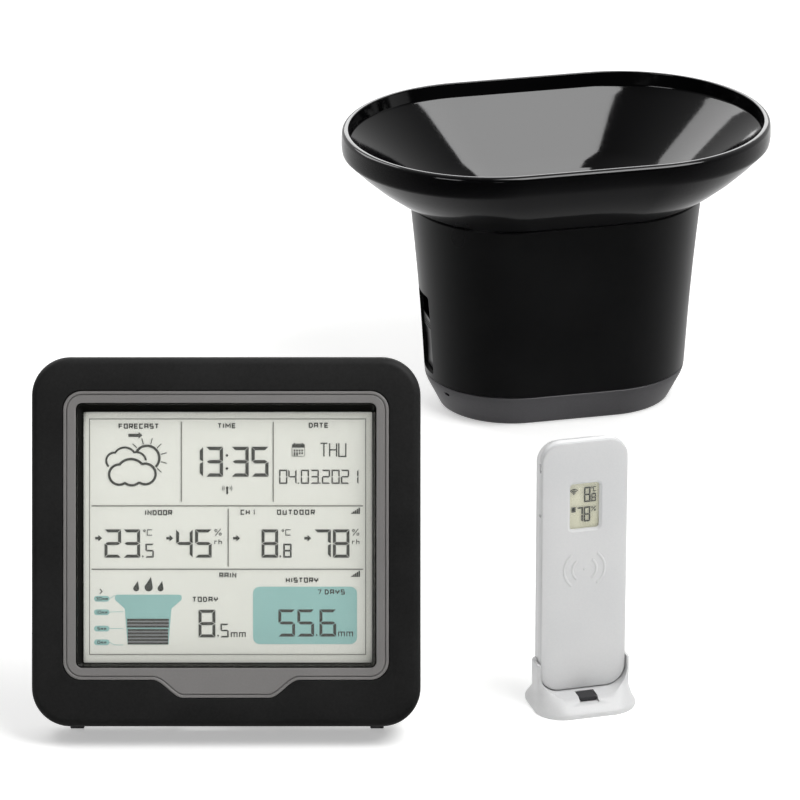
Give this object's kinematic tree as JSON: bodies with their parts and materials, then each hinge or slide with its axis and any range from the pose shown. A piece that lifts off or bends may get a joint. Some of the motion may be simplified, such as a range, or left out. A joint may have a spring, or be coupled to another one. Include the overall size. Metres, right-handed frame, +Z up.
{
  "type": "home weather station",
  "caption": "Home weather station: leaning display unit with fold-out stand, self-emptying tipping-bucket rain gauge and slim outdoor sensor in a desk cradle.",
  "frame": {"origin": "middle of the whole set's bounding box, on the floor that all three units stand on", "axes": "+Z up, -Y the side that the display unit and the sensor face, +Y to the rain gauge behind them, +X to the right seen from the front"},
  "size_m": [0.384, 0.5541, 0.1779],
  "materials": {
    "black_case": "fine grained matte black",
    "grey_satin": "satin grey",
    "deep_black": "matte black",
    "clear_window": "clear polished sheet",
    "display": "reflective liquid crystal glass",
    "opal": "white diffuser",
    "circuit_board": "green solder mask",
    "ferrite": "bare ferrite",
    "rubber": "matte",
    "steel": "bright zinc",
    "nickel": "nickel plate",
    "cell_wrap": "printed sleeve",
    "gloss_black": "high gloss black",
    "satin_black": "satin gloss black",
    "base_grey": "satin dark grey",
    "white_case": "satin white",
    "key_grey": "matte dark grey",
    "bucket_grey": "matte light grey"
  },
  "bodies": {
    "station": {"station_front_case": "black_case", "station_rear_case": "black_case", "station_bezel": "grey_satin", "station_mask": "deep_black", "station_window": "clear_window", "station_lcd": "display", "station_light_guide": "opal", "station_board": "circuit_board", "station_clock_antenna": "ferrite", "station_stand_pin": "steel", "station_cell_1": "cell_wrap", "station_cell_2": "cell_wrap", "station_cell_3": "cell_wrap", "station_lower_contact": "nickel", "station_upper_contact": "nickel", "station_foot_left": "rubber", "station_foot_right": "rubber", "station_screw_1": "steel", "station_screw_2": "steel", "station_screw_3": "steel", "station_screw_4": "steel"},
    "stand_leg": {"station_stand": "black_case"},
    "station_cover": {"station_battery_cover": "black_case"},
    "mode_key": {"station_mode_button": "key_grey"},
    "down_key": {"station_down_button": "key_grey"},
    "up_key": {"station_up_button": "key_grey"},
    "history_key": {"station_history_button": "key_grey"},
    "channel_key": {"station_channel_button": "key_grey"},
    "light_key": {"station_light_button": "black_case"},
    "gauge": {"gauge_body": "satin_black", "gauge_base": "base_grey", "gauge_axle": "steel", "gauge_pod": "base_grey", "gauge_pod_gasket": "rubber", "gauge_board": "circuit_board", "gauge_cell_1": "cell_wrap", "gauge_cell_2": "cell_wrap", "gauge_screw_1": "steel", "gauge_screw_2": "steel"},
    "collector": {"gauge_funnel": "gloss_black"},
    "strainer": {"gauge_strainer": "base_grey"},
    "tipper": {"gauge_bucket": "bucket_grey", "gauge_magnet": "nickel"},
    "pod_lid": {"gauge_pod_lid": "base_grey"},
    "latch": {"gauge_latch": "satin_black"},
    "cradle": {"sensor_stand": "white_case"},
    "sensor": {"sensor_front_shell": "white_case", "sensor_rear_shell": "white_case", "sensor_window": "clear_window", "sensor_lcd": "display", "sensor_board": "circuit_board", "sensor_cell_1": "cell_wrap", "sensor_cell_2": "cell_wrap", "sensor_lower_contact": "nickel", "sensor_upper_contact": "nickel", "sensor_screw_1": "steel", "sensor_screw_2": "steel"},
    "sensor_cover": {"sensor_battery_cover": "white_case"},
    "sensor_channel_key": {"sensor_channel_button": "key_grey"},
    "send_key": {"sensor_send_button": "key_grey"}
  },
  "joints": [
    {"name": "stand_fold", "type": "hinge", "parent": "station", "child": "stand_leg", "pos_m": [-0.0968, -0.22537, 0.07142], "axis": [1, 0, 0], "range_deg": [-36, 0]},
    {"name": "station_cover_off", "type": "slide", "parent": "station", "child": "station_cover", "axis": [0, 0.9272, -0.3746], "range_m": [0, 0.012]},
    {"name": "mode_press", "type": "slide", "parent": "station", "child": "mode_key", "axis": [0, -0.9272, 0.3746], "range_m": [0, 0.001], "stiffness_N_per_m": 1500, "springref_m": -0.0005},
    {"name": "down_press", "type": "slide", "parent": "station", "child": "down_key", "axis": [0, -0.9272, 0.3746], "range_m": [0, 0.001], "stiffness_N_per_m": 1500, "springref_m": -0.0005},
    {"name": "up_press", "type": "slide", "parent": "station", "child": "up_key", "axis": [0, -0.9272, 0.3746], "range_m": [0, 0.001], "stiffness_N_per_m": 1500, "springref_m": -0.0005},
    {"name": "history_press", "type": "slide", "parent": "station", "child": "history_key", "axis": [0, -0.9272, 0.3746], "range_m": [0, 0.001], "stiffness_N_per_m": 1500, "springref_m": -0.0005},
    {"name": "channel_press", "type": "slide", "parent": "station", "child": "channel_key", "axis": [0, -0.9272, 0.3746], "range_m": [0, 0.001], "stiffness_N_per_m": 1500, "springref_m": -0.0005},
    {"name": "light_press", "type": "slide", "parent": "station", "child": "light_key", "axis": [0, -0.3746, -0.9272], "range_m": [0, 0.0008], "stiffness_N_per_m": 1500, "springref_m": -0.0005},
    {"name": "gauge_lift", "type": "slide", "parent": "station", "child": "gauge", "axis": [0, 0, 1], "range_m": [0, 0.1]},
    {"name": "funnel_lift", "type": "slide", "parent": "gauge", "child": "collector", "axis": [0, 0, 1], "range_m": [0, 0.07]},
    {"name": "strainer_lift", "type": "slide", "parent": "collector", "child": "strainer", "axis": [0, 0, 1], "range_m": [0, 0.095]},
    {"name": "bucket_tip", "type": "hinge", "parent": "gauge", "child": "tipper", "pos_m": [0.07552, 0.18137, 0.03], "axis": [-0.2368, 0.9715, 0], "range_deg": [0, 36]},
    {"name": "pod_lid_lift", "type": "slide", "parent": "gauge", "child": "pod_lid", "axis": [0, 0, 1], "range_m": [0, 0.02]},
    {"name": "latch_press", "type": "slide", "parent": "gauge", "child": "latch", "axis": [0.9715, 0.2368, 0], "range_m": [0, 0.0025], "stiffness_N_per_m": 1200, "springref_m": -0.0005},
    {"name": "cradle_lift", "type": "slide", "parent": "station", "child": "cradle", "axis": [0, 0, 1], "range_m": [0, 0.1]},
    {"name": "sensor_lift", "type": "slide", "parent": "cradle", "child": "sensor", "axis": [0, 0, 1], "range_m": [0, 0.14]},
    {"name": "sensor_cover_off", "type": "slide", "parent": "sensor", "child": "sensor_cover", "axis": [-0.2672, 0.9636, 0], "range_m": [0, 0.012]},
    {"name": "sensor_channel_press", "type": "slide", "parent": "sensor", "child": "sensor_channel_key", "axis": [0.2672, -0.9636, 0], "range_m": [0, 0.0006], "stiffness_N_per_m": 1500, "springref_m": -0.0005},
    {"name": "send_press", "type": "slide", "parent": "sensor", "child": "send_key", "axis": [0.2672, -0.9636, 0], "range_m": [0, 0.0006], "stiffness_N_per_m": 1500, "springref_m": -0.0005}
  ]
}
